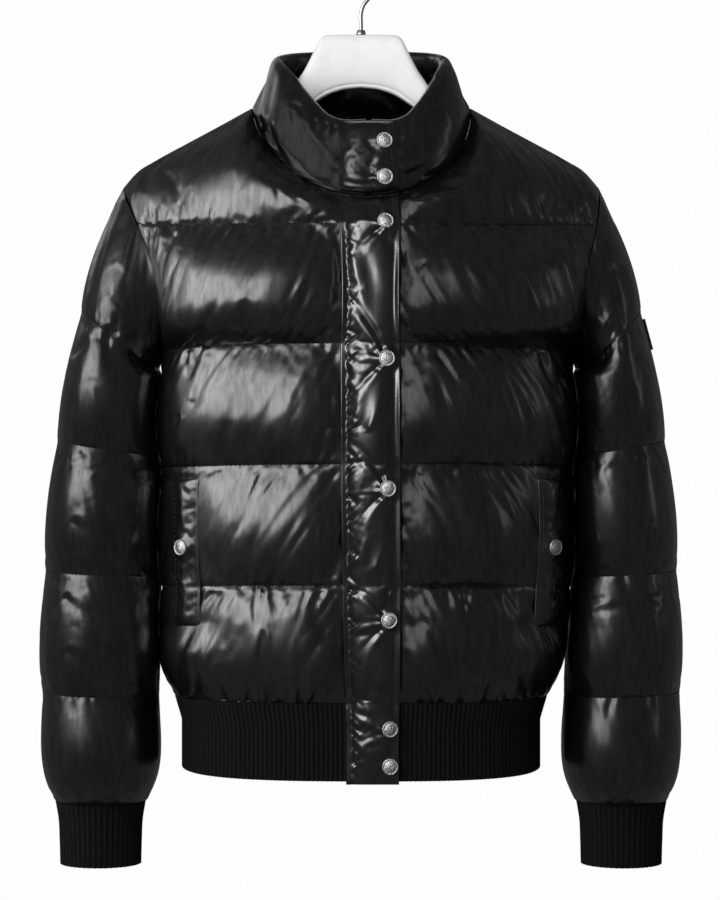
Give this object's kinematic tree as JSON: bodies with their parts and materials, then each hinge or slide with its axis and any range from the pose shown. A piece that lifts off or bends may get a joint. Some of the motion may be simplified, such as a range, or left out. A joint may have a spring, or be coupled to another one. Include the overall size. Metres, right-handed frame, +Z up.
{
  "type": "bomber jacket on a hanger",
  "caption": "Padded bomber jacket with a stand collar, snapped flap front, welt pockets and ribbed cuffs and hem, hung closed on a broad hanger by its hook.",
  "frame": {"origin": "inside top of the hanger's hook, where a rail would touch it", "axes": "+Z up, +X to the left side of the wearer (the viewer's right), the front faces -Y"},
  "size_m": [0.5916, 0.2552, 0.8503],
  "materials": {
    "nylon": "glossy coated nylon",
    "rib_knit": "matte rib knit",
    "nickel": "polished nickel",
    "patch": "matte",
    "zip_black": "matte",
    "hanger_white": "gloss moulded",
    "steel": "bright wire"
  },
  "bodies": {
    "root": {"back": "nylon", "collar": "nylon", "collar_flap": "nylon", "cuff_left": "rib_knit", "cuff_right": "rib_knit", "front_left": "nylon", "front_right": "nylon", "front_zip": "zip_black", "hanger_body": "hanger_white", "hanger_hook": "steel", "hem_rib": "rib_knit", "hook_ferrule": "steel", "pocket_snap_left": "nickel", "pocket_snap_right": "nickel", "pocket_welt_left": "nylon", "pocket_welt_right": "nylon", "sleeve_left": "nylon", "sleeve_patch": "patch", "sleeve_right": "nylon", "snap_1": "nickel", "snap_2": "nickel", "snap_3": "nickel", "snap_4": "nickel", "snap_5": "nickel", "snap_6": "nickel", "snap_7": "nickel", "snap_8": "nickel", "storm_flap": "nylon"}
  },
  "joints": []
}
